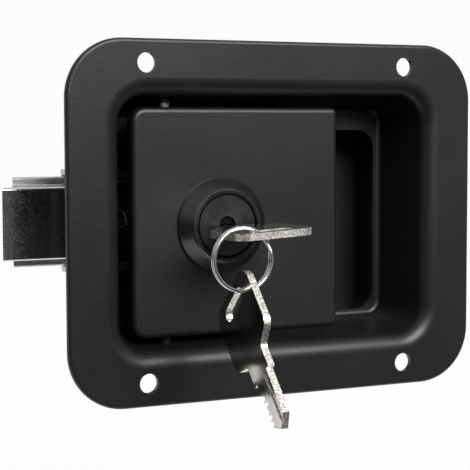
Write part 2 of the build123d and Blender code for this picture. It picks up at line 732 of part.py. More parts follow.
# ---------------------------------------------------------------- cam and its screw
with BuildPart() as cam:
    with BuildSketch(lock_face(cam_front)):
        Circle(CAM_W / 2)
        with Locations((0, -(CAM_REACH - CAM_TIP_R) / 2)):
            Rectangle(CAM_W, CAM_REACH - CAM_TIP_R)
        with Locations((0, -CAM_REACH + CAM_TIP_R)):
            Rectangle(CAM_W - 2 * CAM_TIP_R, 2 * CAM_TIP_R)
        with Locations(*[(side * (CAM_W / 2 - CAM_TIP_R), -CAM_REACH + CAM_TIP_R) for side in (1, -1)]):
            Circle(CAM_TIP_R)
        Rectangle(TAIL_SIDE + 2 * TAIL_GAP, TAIL_SIDE + 2 * TAIL_GAP, mode=Mode.SUBTRACT)
    extrude(amount=-CAM_T)
finish(cam.part, "cam")

with BuildPart() as cam_screw:
    with BuildSketch(lock_face(cam_rear)):
        Circle(SCREW_D / 2 - SCREW_FIT)
    extrude(amount=SCREW_LENGTH - SCREW_ROOM)
    with BuildSketch(lock_face(cam_rear)):
        Circle(SCREW_HEAD_D / 2)
    extrude(amount=-SCREW_HEAD_T)
    fillet(cam_screw.faces().sort_by(Axis.Y)[-1].edges(), SCREW_HEAD_R)
    with BuildSketch(lock_face(cam_rear + SCREW_HEAD_T)):
        Rectangle(CROSS_L, CROSS_W)
        Rectangle(CROSS_W, CROSS_L)
    extrude(amount=CROSS_DEPTH, mode=Mode.SUBTRACT)
finish(cam_screw.part, "cam_screw")


# ---------------------------------------------------------------- keys
def key_outline():
    """Key in its own plane: shoulder line on X, blade towards +Y, bow towards -Y."""
    with BuildSketch(Plane.XY, mode=Mode.PRIVATE) as outline:
        shoulder_at = -NECK_L - BOW_SHOULDER
        with BuildLine():
            Polyline(
                (-NECK_W / 2, 0),
                (-NECK_W / 2, -NECK_L),
                (-BOW_W / 2, shoulder_at),
                (-BOW_W / 2, -BOW_L),
                (BOW_W / 2, -BOW_L),
                (BOW_W / 2, shoulder_at),
                (NECK_W / 2, -NECK_L),
                (NECK_W / 2, 0),
                close=True,
            )
        make_face()
        fillet(outline.vertices().filter_by_position(Axis.Y, -BOW_L - 0.01, -BOW_L + 0.01), BOW_R)
        fillet(outline.vertices().filter_by_position(Axis.Y, shoulder_at - 0.01, shoulder_at + 0.01), BOW_SHOULDER_R)
        fillet(outline.vertices().filter_by_position(Axis.Y, -NECK_L - 0.01, -NECK_L + 0.01), NECK_R)
        with Locations((0, slot_at)):
            SlotOverall(KEY_SLOT_L, KEY_SLOT_W, mode=Mode.SUBTRACT)
        with BuildLine():
            edge_points = [(-BLADE_W / 2, -1), (-BLADE_W / 2, cuts_end), (0, blade_length), (BLADE_W / 2, cuts_end)]
            for index, depth in reversed(list(enumerate(CUT_DEPTHS))):
                middle = cut_start + (index + 0.5) * WAFER_PITCH
                edge_points.append((BLADE_W / 2 - depth, middle + CUT_FLAT / 2))
                edge_points.append((BLADE_W / 2 - depth, middle - CUT_FLAT / 2))
                edge_points.append((BLADE_W / 2, middle - WAFER_PITCH / 2))
            edge_points.append((BLADE_W / 2, -1))
            Polyline(*edge_points, close=True)
        make_face()
    return outline.sketch


def key_solid():
    """Key lying in the XY plane about its shoulder, with a groove down one side of the blade."""
    with BuildPart(mode=Mode.PRIVATE) as blank:
        add(key_outline())
        extrude(amount=KEY_T / 2, both=True)
        with BuildSketch(Plane.XY.offset(KEY_T / 2)):
            with Locations((-BLADE_W / 4, blade_length / 2)):
                Rectangle(KEY_GROOVE_W, blade_length + 2)
        extrude(amount=-KEY_GROOVE_DEPTH, mode=Mode.SUBTRACT)
    return blank.part


key_seat = Plane(
    origin=lock_face(key_shoulder).from_local_coords((0, -KEYWAY_DROP, 0)),
    x_dir=lock_face(0).x_dir,
    z_dir=lock_face(0).y_dir,
)
key_lean = Location((0, blade_length / 2, 0), (0, 0, KEY_YAW)) * Location((0, -blade_length / 2, 0))
key_part = key_seat.location * key_lean * key_solid()
finish(key_part, "key")


# ---------------------------------------------------------------- split ring
ring_pitch = RING_WIRE + RING_TURN_GAP
ring_mean = (RING_OD - RING_WIRE) / 2
ring_z = LOCK_Z - KEYWAY_DROP - RING_DROP
with BuildPart() as split_ring:
    with BuildLine():
        ring_coil = Helix(
            pitch=ring_pitch,
            height=ring_pitch * RING_TURNS,
            radius=ring_mean,
            center=(ring_x, slot_centre - ring_pitch * RING_TURNS / 2, ring_z),
            direction=(0, 1, 0),
        )
    with BuildSketch(Plane(origin=ring_coil @ 0, z_dir=ring_coil % 0)):
        Circle(RING_WIRE / 2 - RING_RELIEF)
    sweep(path=ring_coil, is_frenet=True)
finish(split_ring.part, "split_ring")


# ---------------------------------------------------------------- spare key
slot_end = KEY_SLOT_L / 2 - KEY_SLOT_W / 2
hang = Vector(ring_x, slot_centre, ring_z - ring_mean - HANG_DROP)
spare = key_solid()
spare = spare.moved(Location((slot_end, -slot_at, 0)))
spare = spare.rotate(Axis.Y, -90)
spare = spare.rotate(Axis.X, -90 - SPARE_LEAN)
spare = spare.moved(Location(hang))
finish(spare, "spare_key")
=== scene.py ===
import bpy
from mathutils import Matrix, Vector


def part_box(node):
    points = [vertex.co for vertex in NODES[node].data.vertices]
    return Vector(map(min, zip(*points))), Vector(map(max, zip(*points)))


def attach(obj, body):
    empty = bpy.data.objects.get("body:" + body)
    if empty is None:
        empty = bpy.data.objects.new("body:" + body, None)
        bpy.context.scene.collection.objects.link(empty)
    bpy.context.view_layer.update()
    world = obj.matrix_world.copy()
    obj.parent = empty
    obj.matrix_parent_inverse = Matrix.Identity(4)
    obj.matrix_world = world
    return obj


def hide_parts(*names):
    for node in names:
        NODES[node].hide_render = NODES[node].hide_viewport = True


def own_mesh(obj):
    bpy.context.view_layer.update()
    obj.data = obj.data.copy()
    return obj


bl_info = {
    "name": "Paddle latch dressing",
    "version": (1, 0, 0),
    "blender": (4, 5, 0),
    "location": "View3D > Sidebar > Paddle latch",
    "description": "Finishes, wire pieces, welds and a plain studio for a flush paddle latch",
    "category": "Object",
}

import math
import bpy
import numpy as np
from mathutils import Matrix, Vector

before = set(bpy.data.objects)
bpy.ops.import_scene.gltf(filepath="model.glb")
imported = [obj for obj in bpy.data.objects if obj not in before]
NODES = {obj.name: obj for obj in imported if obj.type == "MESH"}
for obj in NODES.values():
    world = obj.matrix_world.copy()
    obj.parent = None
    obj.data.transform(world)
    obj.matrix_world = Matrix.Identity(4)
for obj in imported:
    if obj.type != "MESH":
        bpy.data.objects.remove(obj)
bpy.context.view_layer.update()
MM = 0.001


def middle_of(node):
    """Middle of a node's box: half the sum of its lowest and highest corners."""
    low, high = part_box(node)
    return [(a + b) / 2 for a, b in zip(low, high)]


def size_of(node):
    """Size of a node's box: its highest corner less its lowest."""
    low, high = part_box(node)
    return [b - a for a, b in zip(low, high)]


LOCK_CENTRE = middle_of("lock_body")
SPRING_LOW, SPRING_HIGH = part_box("bolt_spring")
RING_CENTRE = middle_of("split_ring")


# ---------------------------------------------------------------- settings a user would change
class LatchFinishSettings(bpy.types.PropertyGroup):
    """Colours and surface grain of the latch's finishes."""

    powder_colour: bpy.props.FloatVectorProperty(
        name="Powder coat", description="Colour of the black powder coat on the pan and paddle",
        subtype="COLOR", size=3, min=0.0, max=1.0, default=(0.0055, 0.0055, 0.0058))
    powder_grain: bpy.props.FloatProperty(
        name="Coat grain", description="Size of the powder coat's fine grain",
        subtype="DISTANCE", unit="LENGTH", min=0.0001, max=0.003, default=0.00045)
    powder_roughness: bpy.props.FloatProperty(
        name="Coat roughness", description="How matt the powder coat is",
        subtype="FACTOR", min=0.1, max=0.9, default=0.41)
    lock_colour: bpy.props.FloatVectorProperty(
        name="Lock black", description="Colour of the lock's black bezel and plug",
        subtype="COLOR", size=3, min=0.0, max=1.0, default=(0.005, 0.005, 0.0052))
    zinc_colour: bpy.props.FloatVectorProperty(
        name="Zinc", description="Colour of the zinc plated sheet",
        subtype="COLOR", size=3, min=0.0, max=1.0, default=(0.66, 0.68, 0.67))
    spangle_size: bpy.props.FloatProperty(
        name="Spangle size", description="Width of one crystal on the bolt's zinc",
        subtype="DISTANCE", unit="LENGTH", min=0.0002, max=0.01, default=0.0006)
    steel_colour: bpy.props.FloatVectorProperty(
        name="Plated steel", description="Colour of the pins, rivets, nut and wire",
        subtype="COLOR", size=3, min=0.0, max=1.0, default=(0.62, 0.62, 0.63))
    nickel_colour: bpy.props.FloatVectorProperty(
        name="Nickel", description="Colour of the keys' nickel plating",
        subtype="COLOR", size=3, min=0.0, max=1.0, default=(0.78, 0.75, 0.70))
    brass_colour: bpy.props.FloatVectorProperty(
        name="Brass", description="Colour of the lock's wafers",
        subtype="COLOR", size=3, min=0.0, max=1.0, default=(0.74, 0.53, 0.24))


class LatchWireSettings(bpy.types.PropertyGroup):
    """Sizes of the wire pieces, the barrel's thread and the weld marks."""

    spring_wire: bpy.props.FloatProperty(
        name="Spring wire", description="Diameter of the bolt spring's wire",
        subtype="DISTANCE", unit="LENGTH", min=0.0003, max=0.002, default=0.0008)
    spring_turns: bpy.props.FloatProperty(
        name="Spring turns", description="Turns of the bolt spring, closed ends included",
        min=4.0, max=24.0, default=12.5)
    ring_wire: bpy.props.FloatProperty(
        name="Ring wire", description="Thickness of the split ring's wire",
        subtype="DISTANCE", unit="LENGTH", min=0.0005, max=0.002, default=0.00096)
    thread_pitch: bpy.props.FloatProperty(
        name="Thread pitch", description="Pitch of the thread on the lock's barrel",
        subtype="DISTANCE", unit="LENGTH", min=0.0005, max=0.003, default=0.0011)
    weld_width: bpy.props.FloatProperty(
        name="Weld width", description="Diameter of one spot weld's mark",
        subtype="DISTANCE", unit="LENGTH", min=0.001, max=0.01, default=0.0046)


class LatchStudioSettings(bpy.types.PropertyGroup):
    """The plain studio: floor, lamps and camera."""

    floor_height: bpy.props.FloatProperty(
        name="Floor height", description="Height of the floor below the flange's middle",
        subtype="DISTANCE", unit="LENGTH", min=-1.0, max=0.0, default=-0.105)
    key_power: bpy.props.FloatProperty(
        name="Key lamp", description="Power of the big lamp, above and to the right",
        min=0.0, max=100.0, default=13.5)
    fill_power: bpy.props.FloatProperty(
        name="Fill lamp", description="Power of the soft lamp low on the right",
        min=0.0, max=100.0, default=0.12)
    top_power: bpy.props.FloatProperty(
        name="Top lamp", description="Power of the overhead lamp",
        min=0.0, max=100.0, default=0.6)
    lens: bpy.props.FloatProperty(
        name="Lens", description="Camera's focal length",
        subtype="DISTANCE_CAMERA", min=20.0, max=300.0, default=109.4)


# ---------------------------------------------------------------- materials
def new_finish(name, colour, metallic, roughness):
    """An empty node material with one Principled shader, set to plain numbers."""
    material = bpy.data.materials.new(name)
    material.use_nodes = True
    tree = material.node_tree
    tree.nodes.clear()
    output = tree.nodes.new("ShaderNodeOutputMaterial")
    shader = tree.nodes.new("ShaderNodeBsdfPrincipled")
    tree.links.new(shader.outputs["BSDF"], output.inputs["Surface"])
    shader.inputs["Base Color"].default_value = (*colour, 1.0)
    shader.inputs["Metallic"].default_value = metallic
    shader.inputs["Roughness"].default_value = roughness
    return material, tree, shader


def object_place(tree, centre=(0, 0, 0), stretch=(1, 1, 1), turn=(0, 0, 0)):
    """Object coordinates, moved to a centre, stretched, then turned."""
    coordinate = tree.nodes.new("ShaderNodeTexCoord")
    moved = tree.nodes.new("ShaderNodeVectorMath")
    moved.operation = "SUBTRACT"
    moved.inputs[1].default_value = centre
    tree.links.new(coordinate.outputs["Object"], moved.inputs[0])
    mapping = tree.nodes.new("ShaderNodeMapping")
    mapping.inputs["Rotation"].default_value = turn
    mapping.inputs["Scale"].default_value = stretch
    tree.links.new(moved.outputs[0], mapping.inputs["Vector"])
    return mapping.outputs["Vector"]


def noise(tree, place, scale, detail=2.0, roughness=0.5):
    """Value of a noise of a given scale at a place."""
    node = tree.nodes.new("ShaderNodeTexNoise")
    node.inputs["Scale"].default_value = scale
    node.inputs["Detail"].default_value = detail
    node.inputs["Roughness"].default_value = roughness
    tree.links.new(place, node.inputs["Vector"])
    return node.outputs["Fac"]


def spread(tree, value, low, high, start=0.3, stop=0.7):
    """A value from start to stop, spread to low up to high."""
    node = tree.nodes.new("ShaderNodeMapRange")
    node.inputs["From Min"].default_value = start
    node.inputs["From Max"].default_value = stop
    node.inputs["To Min"].default_value = low
    node.inputs["To Max"].default_value = high
    tree.links.new(value, node.inputs["Value"])
    return node.outputs["Result"]


def blend_colours(tree, share, colour_a, colour_b):
    """Colour that goes from a to b with share."""
    node = tree.nodes.new("ShaderNodeMix")
    node.data_type = "RGBA"
    for socket, colour in ((node.inputs[6], colour_a), (node.inputs[7], colour_b)):
        if isinstance(colour, bpy.types.NodeSocket):
            tree.links.new(colour, socket)
        else:
            socket.default_value = (*colour, 1.0)
    tree.links.new(share, node.inputs[0])
    return node.outputs[2]


def calculate(tree, operation, a, b):
    """Arithmetic on two values, or on a value and a number."""
    node = tree.nodes.new("ShaderNodeMath")
    node.operation = operation
    for socket, value in zip(node.inputs, (a, b)):
        if isinstance(value, bpy.types.NodeSocket):
            tree.links.new(value, socket)
        else:
            socket.default_value = value
    return node.outputs[0]


def relief(tree, height, distance, strength, below=None):
    """Bump of a height, over an earlier bump where one is given."""
    node = tree.nodes.new("ShaderNodeBump")
    if isinstance(strength, bpy.types.NodeSocket):
        tree.links.new(strength, node.inputs["Strength"])
    else:
        node.inputs["Strength"].default_value = strength
    node.inputs["Distance"].default_value = distance
    tree.links.new(height, node.inputs["Height"])
    if below is not None:
        tree.links.new(below, node.inputs["Normal"])
    return node.outputs["Normal"]


def shade(colour, factor):
    """A colour made lighter or darker."""
    return tuple(min(1.0, part * factor) for part in colour)


def near(tree, value, target, inner, outer):
    """Share that is 1 where a value is within inner of its target and 0 beyond outer."""
    apart = calculate(tree, "ABSOLUTE", calculate(tree, "SUBTRACT", value, target), 0.0)
    return spread(tree, apart, 1.0, 0.0, inner, outer)


def edge_share(tree, across, start, stop):
    """Share that is 0 where the normal lies along a direction and 1 where it lies across it."""
    coordinate = tree.nodes.new("ShaderNodeTexCoord")
    facing = tree.nodes.new("ShaderNodeVectorMath")
    facing.operation = "DOT_PRODUCT"
    facing.inputs[1].default_value = across
    tree.links.new(coordinate.outputs["Normal"], facing.inputs[0])
    return spread(tree, calculate(tree, "ABSOLUTE", facing.outputs["Value"], 0.0), 1.0, 0.0, start, stop)


def powder_coat(name, colour, roughness, grain, depth):
    """Powder coat: fine grain and a soft orange peel in relief, cloudy gloss, rare pale specks."""
    material, tree, shader = new_finish(name, colour, 0.0, roughness)
    place = object_place(tree)
    clouds = noise(tree, place, 30.0, 3.0)
    fine = noise(tree, place, 1.0 / grain, 3.0, 0.6)
    peel = noise(tree, place, 0.22 / grain, 2.0)
    specks = noise(tree, place, 0.5 / grain, 1.0)
    tint = blend_colours(tree, spread(tree, clouds, 0.0, 1.0), shade(colour, 0.85), shade(colour, 1.2))
    pale = spread(tree, specks, 0.0, 0.35, 0.74, 0.80)
    tree.links.new(blend_colours(tree, pale, tint, shade(colour, 5.0)), shader.inputs["Base Color"])
    gloss = calculate(tree, "ADD", spread(tree, clouds, roughness - 0.03, roughness + 0.03),
                      spread(tree, fine, -0.04, 0.04))
    tree.links.new(gloss, shader.inputs["Roughness"])
    soft = relief(tree, peel, depth * 2.5, 0.35)
    tree.links.new(relief(tree, fine, depth, 0.5, soft), shader.inputs["Normal"])
    return material


def spangled_zinc(name, colour, crystal, middle, half):
    """Zinc sheet: crystals with their own brightness and gloss, fine dull grains, long faint marks,
    and less gloss past 0.81 of the half height from the middle, where the brims are."""
    material, tree, shader = new_finish(name, colour, 1.0, 0.3)
    place = object_place(tree)
    warp = tree.nodes.new("ShaderNodeVectorMath")
    warp.operation = "MULTIPLY_ADD"
    wobble = tree.nodes.new("ShaderNodeTexNoise")
    wobble.inputs["Scale"].default_value = 0.5 / crystal
    tree.links.new(place, wobble.inputs["Vector"])
    tree.links.new(wobble.outputs["Color"], warp.inputs[0])
    warp.inputs[1].default_value = (crystal * 0.9,) * 3
    tree.links.new(place, warp.inputs[2])
    cells = tree.nodes.new("ShaderNodeTexVoronoi")
    cells.inputs["Scale"].default_value = 1.0 / crystal
    tree.links.new(warp.outputs[0], cells.inputs["Vector"])
    split = tree.nodes.new("ShaderNodeSeparateColor")
    tree.links.new(cells.outputs["Color"], split.inputs[0])
    drawn = noise(tree, object_place(tree, stretch=(0.15, 1, 1)), 2600.0, 2.0)
    stain = noise(tree, place, 90.0, 4.0, 0.6)
    tint = blend_colours(tree, spread(tree, split.outputs[0], 0.0, 1.0, 0.0, 1.0),
                         shade(colour, 0.90), shade(colour, 1.06))
    dull = spread(tree, stain, 0.0, 0.35, 0.52, 0.72)
    tree.links.new(blend_colours(tree, dull, tint, shade(colour, 0.7)), shader.inputs["Base Color"])
    gloss = calculate(tree, "ADD", spread(tree, split.outputs[1], 0.13, 0.20, 0.0, 1.0),
                      spread(tree, stain, -0.02, 0.04))
    grains = spread(tree, noise(tree, place, 4200.0, 2.0, 0.6), 0.0, 0.24, 0.64, 0.72)
    height = tree.nodes.new("ShaderNodeSeparateXYZ")
    tree.links.new(place, height.inputs[0])
    web_end, brim_start = half * 0.81, half * 0.85
    web = near(tree, height.outputs["Z"], middle, web_end, brim_start)
    brims = calculate(
        tree, "MULTIPLY", calculate(tree, "SUBTRACT", 1.0, web), spread(tree, drawn, 0.2, 0.5))
    rough = calculate(tree, "MAXIMUM", grains, brims)
    tree.links.new(calculate(tree, "ADD", gloss, rough), shader.inputs["Roughness"])
    crystals = relief(tree, split.outputs[2], 0.000004, 0.25)
    tree.links.new(relief(tree, drawn, 0.00001, 0.4, crystals), shader.inputs["Normal"])
    return material


def drawn_metal(name, colour, roughness, stretch, scale=2200.0):
    """Bright metal with lines drawn along one axis, soft stains and short scratches."""
    material, tree, shader = new_finish(name, colour, 1.0, roughness)
    place = object_place(tree)
    lines = noise(tree, object_place(tree, stretch=stretch), scale, 3.0, 0.65)
    stain = noise(tree, place, 140.0, 4.0, 0.6)
    nicks = noise(tree, object_place(tree, stretch=(1, 0.12, 1), turn=(0.5, 0.9, 0.3)), 1500.0, 2.0)
    nick = spread(tree, nicks, 0.0, 0.25, 0.66, 0.74)
    tint = blend_colours(tree, spread(tree, lines, 0.0, 1.0), shade(colour, 0.86), shade(colour, 1.06))
    stained = blend_colours(tree, spread(tree, stain, 0.0, 0.3, 0.5, 0.75), tint, shade(colour, 0.6))
    tree.links.new(blend_colours(tree, nick, stained, shade(colour, 1.3)), shader.inputs["Base Color"])
    gloss = calculate(tree, "ADD", spread(tree, lines, roughness - 0.07, roughness + 0.07),
                      spread(tree, stain, -0.03, 0.08))
    tree.links.new(gloss, shader.inputs["Roughness"])
    scratched = relief(tree, nick, 0.00002, 0.5)
    tree.links.new(relief(tree, lines, 0.000012, 0.45, scratched), shader.inputs["Normal"])
    return material


def turned_black(name, colour, roughness, centre, step, seam, face=1.0):
    """Black finish over turned metal: fine rings round an axis along Y, dust, painted shade as a glossless
    seam at one radius, a painted highlight ring outside it broken up like wear, and painted shade as no gloss
    further back than the face."""
    material, tree, shader = new_finish(name, colour, 0.0, roughness)
    place = object_place(tree, centre)
    rings = tree.nodes.new("ShaderNodeTexWave")
    rings.wave_type = "RINGS"
    rings.rings_direction = "Y"
    rings.inputs["Scale"].default_value = 0.314 / step
    rings.inputs["Distortion"].default_value = 0.6
    rings.inputs["Detail"].default_value = 2.0
    tree.links.new(place, rings.inputs["Vector"])
    clouds = noise(tree, place, 160.0, 3.0)
    dust = noise(tree, place, 2600.0, 2.0)
    out = tree.nodes.new("ShaderNodeVectorMath")
    out.operation = "LENGTH"
    tree.links.new(object_place(tree, centre, (1, 0, 1)), out.inputs[0])
    split = tree.nodes.new("ShaderNodeSeparateXYZ")
    tree.links.new(object_place(tree), split.inputs[0])
    # painted shade: the plug's parts further back than its face, and a thin ring just inside the seam where
    # plug meets bezel, lose nearly all their gloss below
    recess = spread(tree, split.outputs["Y"], 0.0, 1.0, face + 0.2 * MM, face + 0.5 * MM)
    shadow = calculate(tree, "MAXIMUM", near(
        tree, out.outputs["Value"], seam - 0.25 * MM, 0.2 * MM, 0.4 * MM), recess)
    # painted highlight: a ring 1 mm outside the seam is lightened to nine times the colour, broken up by the
    # clouds noise like wear
    wear_and_painted_light = calculate(tree, "MULTIPLY", spread(tree, clouds, 0.3, 1.0), near(
        tree, out.outputs["Value"], seam + 1.0 * MM, 0.05 * MM, 0.2 * MM))
    tint = blend_colours(tree, spread(tree, clouds, 0.0, 1.0), shade(colour, 0.8), shade(colour, 1.4))
    dusty = blend_colours(tree, spread(tree, dust, 0.0, 0.3, 0.68, 0.76), tint, shade(colour, 6.0))
    tree.links.new(blend_colours(tree, wear_and_painted_light, dusty, shade(colour, 9.0)), shader.inputs["Base Color"])
    tree.links.new(spread(tree, shadow, 0.9, 0.02, 0.0, 1.0), shader.inputs["Specular IOR Level"])
    tree.links.new(spread(tree, clouds, roughness - 0.04, roughness + 0.06), shader.inputs["Roughness"])
    turned = relief(tree, rings.outputs["Fac"], 0.00001, 0.2)
    tree.links.new(relief(tree, dust, 0.00001, 0.3, turned), shader.inputs["Normal"])
    return material


def pin_with_painted_glint(name, colour, band_low, band_high):
    """Phosphated pin: dark along its length, with a painted glint, bright and less rough, between two ragged
    heights.
    """
    fray, fade = 0.0004, 0.0002
    material, tree, shader = new_finish(name, colour, 1.0, 0.3)
    place = object_place(tree)
    split = tree.nodes.new("ShaderNodeSeparateXYZ")
    tree.links.new(place, split.inputs[0])
    wander = spread(tree, noise(tree, place, 900.0, 3.0), -fray, fray)
    ragged = calculate(tree, "ADD", split.outputs["Z"], wander)
    above = spread(tree, ragged, 0.0, 1.0, band_low, band_low + fade)
    below = spread(tree, ragged, 1.0, 0.0, band_high, band_high + fade)
    # painted glint: share of the bright band on the pin
    painted_glint = calculate(tree, "MULTIPLY", above, below)
    lines = noise(tree, object_place(tree, stretch=(1, 1, 0.1)), 2200.0, 3.0, 0.6)
    bright = blend_colours(tree, spread(tree, lines, 0.0, 1.0), shade(colour, 0.85), shade(colour, 1.1))
    dark = blend_colours(tree, spread(tree, lines, 0.0, 1.0), shade(colour, 0.04), shade(colour, 0.09))
    tree.links.new(blend_colours(tree, painted_glint, dark, bright), shader.inputs["Base Color"])
    tree.links.new(spread(tree, painted_glint, 0.55, 0.22, 0.0, 1.0), shader.inputs["Roughness"])
    tree.links.new(relief(tree, lines, 0.000008, 0.4), shader.inputs["Normal"])
    return material


def cut_blank(name, colour, roughness, across, stretch, tarnish_and_dark_reflection, turn=(0, 0, 0)):
    """Plated key blank: smooth faces with faint scratches along the least stretched axis, faces darkened in
    stain-shaped patches as tarnish and as painted dark reflection, and edges sheared rough."""
    material, tree, shader = new_finish(name, colour, 1.0, roughness)
    place = object_place(tree)
    edge = edge_share(tree, across, 0.4, 0.8)
    lines = noise(tree, object_place(tree, stretch=stretch, turn=turn), 1600.0, 3.0, 0.6)
    shear = noise(tree, place, 1900.0, 2.0, 0.6)
    stain = noise(tree, place, 120.0, 3.0, 0.6)
    face = blend_colours(tree, spread(tree, lines, 0.0, 1.0), shade(colour, 0.86), shade(colour, 1.04))
    # tarnish and painted dark reflection: the faces darken towards 0.3 of the colour where the stain noise is
    # high
    darkened = spread(tree, stain, tarnish_and_dark_reflection * 0.5, tarnish_and_dark_reflection, 0.42, 0.6)
    wear_and_painted_light = blend_colours(tree, darkened, face, shade(colour, 0.3))
    sheared = blend_colours(
        tree, spread(tree, shear, 0.0, 1.0, 0.36, 0.6), shade(colour, 0.45), shade(colour, 1.28))
    tree.links.new(blend_colours(tree, edge, wear_and_painted_light, sheared), shader.inputs["Base Color"])
    gloss = calculate(tree, "ADD", spread(tree, lines, roughness - 0.03, roughness + 0.04),
                      calculate(tree, "MULTIPLY", edge, 0.30))
    tree.links.new(gloss, shader.inputs["Roughness"])
    rough = relief(tree, shear, 0.00006, calculate(tree, "MULTIPLY", edge, 0.5))
    tree.links.new(relief(tree, lines, 0.000004, 0.3, rough), shader.inputs["Normal"])
    return material


def dress(node, material):
    """Give every material slot of a frame node the finish."""
    slots = NODES[node].material_slots
    if not slots:
        NODES[node].data.materials.append(material)
    for slot in NODES[node].material_slots:
        slot.material = material


# ---------------------------------------------------------------- surfaces from arrays
def grid_faces(rows, columns):
    """Quads between neighbouring rows of a grid whose columns join up into a loop."""
    first = np.arange(rows - 1)[:, None]
    column = np.arange(columns)[None, :]
    after = first + 1
    beside = (column + 1) % columns
    corners = (
        first * columns + column, first * columns + beside,
        after * columns + beside, after * columns + column)
    return np.stack(corners, axis=-1).reshape(-1, 4)


def make_piece(name, points, faces, material):
    """A smooth mesh object at the origin from an array of points and an array of faces."""
    mesh = bpy.data.meshes.new(name)
    mesh.from_pydata(points.tolist(), [], [list(face) for face in faces])
    mesh.update()
    mesh.polygons.foreach_set("use_smooth", np.full(len(mesh.polygons), True))
    mesh.materials.append(material)
    piece = bpy.data.objects.new(name, mesh)
    bpy.context.scene.collection.objects.link(piece)
    return piece


def swept_wire(path, wire, sides, up):
    """Round section carried along a path: each point is the path plus the wire's radius times the
    cosine along the side direction and the sine along the lift; the ends round off over 0.35 wire."""
    ahead = np.gradient(path, axis=0)
    ahead /= np.linalg.norm(ahead, axis=1)[:, None]
    side = np.cross(ahead, up)
    side /= np.linalg.norm(side, axis=1)[:, None]
    lift = np.cross(side, ahead)
    travelled = np.concatenate(([0.0], np.cumsum(np.linalg.norm(np.diff(path, axis=0), axis=1))))
    reach = np.minimum(travelled, travelled[-1] - travelled) / (wire * 0.35)
    taper = np.sqrt(np.clip(1 - (1 - np.clip(reach, 0.0, 1.0)) ** 2, 0.02, 1.0))
    angle = np.linspace(0, 2 * np.pi, sides, endpoint=False)
    across = (np.cos(angle) * wire / 2)[None, :, None] * taper[:, None, None] * side[:, None, :]
    along = (np.sin(angle) * wire / 2)[None, :, None] * taper[:, None, None] * lift[:, None, :]
    rings = (path[:, None, :] + across + along).reshape(-1, 3)
    faces = [tuple(face) for face in grid_faces(len(path), sides)]
    last = (len(path) - 1) * sides
    faces.append(tuple(reversed(range(sides))))
    faces.append(tuple(range(last, last + sides)))
    return rings, faces


# ---------------------------------------------------------------- steps, one operator each
class LATCH_OT_coat(bpy.types.Operator):
    """Powder coats the pan, the rear cover and the paddle"""

    bl_idname = "latch.coat"
    bl_label = "Powder coat"

    def execute(self, context):
        finish = context.scene.latch_finish
        colour = tuple(finish.powder_colour)
        roughness = finish.powder_roughness
        grain = finish.powder_grain
        dress("pan", powder_coat("pan_powder", colour, roughness, grain, 0.00003))
        dress("paddle", powder_coat(
            "paddle_powder", shade(colour, 1.15), roughness + 0.01, grain, 0.00003))
        dress("rear_cover", powder_coat(
            "cover_powder", shade(colour, 2.2), roughness + 0.1, grain * 1.2, 0.00004))
        return {"FINISHED"}


class LATCH_OT_bolt(bpy.types.Operator):
    """Zinc finishes the bolt, its guide, the paddle arm and the cam"""

    bl_idname = "latch.bolt"
    bl_label = "Zinc sheet"

    def execute(self, context):
        finish = context.scene.latch_finish
        zinc = tuple(finish.zinc_colour)
        for node, tone, crystals in (("bolt", 1.0, 1.0), ("bolt_guide", 0.9, 1.4)):
            dress(node, spangled_zinc(
                node + "_zinc", shade(zinc, tone), finish.spangle_size * crystals,
                middle_of(node)[2], size_of(node)[2] / 2))
        dress("paddle_arm", drawn_metal("arm_phosphate", shade(zinc, 0.12), 0.5, (1, 1, 0.12)))
        dress("cam", drawn_metal("cam_zinc", shade(zinc, 0.95), 0.32, (1, 1, 0.15)))
        return {"FINISHED"}


class LATCH_OT_fasteners(bpy.types.Operator):
    """Finishes the pin, clips, rivets, washer, nut, screw and rod"""

    bl_idname = "latch.fasteners"
    bl_label = "Pins and fasteners"

    def execute(self, context):
        steel = tuple(context.scene.latch_finish.steel_colour)
        paddle_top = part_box("paddle")[1][2]
        # painted glint on the pin, from the paddle's top to 0.9 mm above it, where the pin shows in the gap
        dress("hinge_pin", pin_with_painted_glint("pin_phosphate_painted_glint", steel, paddle_top, paddle_top + 0.9 * MM))
        dress("spring_rod", drawn_metal("rod_steel", steel, 0.28, (0.1, 1, 1)))
        dress("guide_rivets", drawn_metal("rivet_steel", shade(steel, 0.9), 0.33, (1, 0.5, 1)))
        dress("lock_washer", drawn_metal("washer_steel", shade(steel, 0.95), 0.36, (1, 1, 0.3)))
        dress("lock_nut", drawn_metal("nut_steel", shade(steel, 0.9), 0.38, (1, 0.2, 1)))
        dress("cam_screw", drawn_metal("screw_steel", shade(steel, 0.88), 0.34, (1, 0.3, 1)))
        dark = drawn_metal("clip_steel", shade(steel, 0.4), 0.42, (1, 1, 0.4))
        dress("upper_pin_clip", dark)
        dress("lower_pin_clip", dark)
        return {"FINISHED"}


class LATCH_OT_lock(bpy.types.Operator):
    """Finishes the lock's body, plug and wafers"""

    bl_idname = "latch.lock"
    bl_label = "Lock"

    def execute(self, context):
        finish = context.scene.latch_finish
        black = tuple(finish.lock_colour)
        seam = size_of("lock_plug")[0] / 2
        dress("lock_body", turned_black("bezel_black", black, 0.20, LOCK_CENTRE, 0.00025, seam))
        dress("lock_plug", turned_black(
            "plug_black", shade(black, 0.9), 0.26, LOCK_CENTRE, 0.0002, seam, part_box("lock_plug")[0][1]))
        dress("lock_wafers", drawn_metal("wafer_brass", tuple(finish.brass_colour), 0.36, (0.2, 1, 1)))
        return {"FINISHED"}


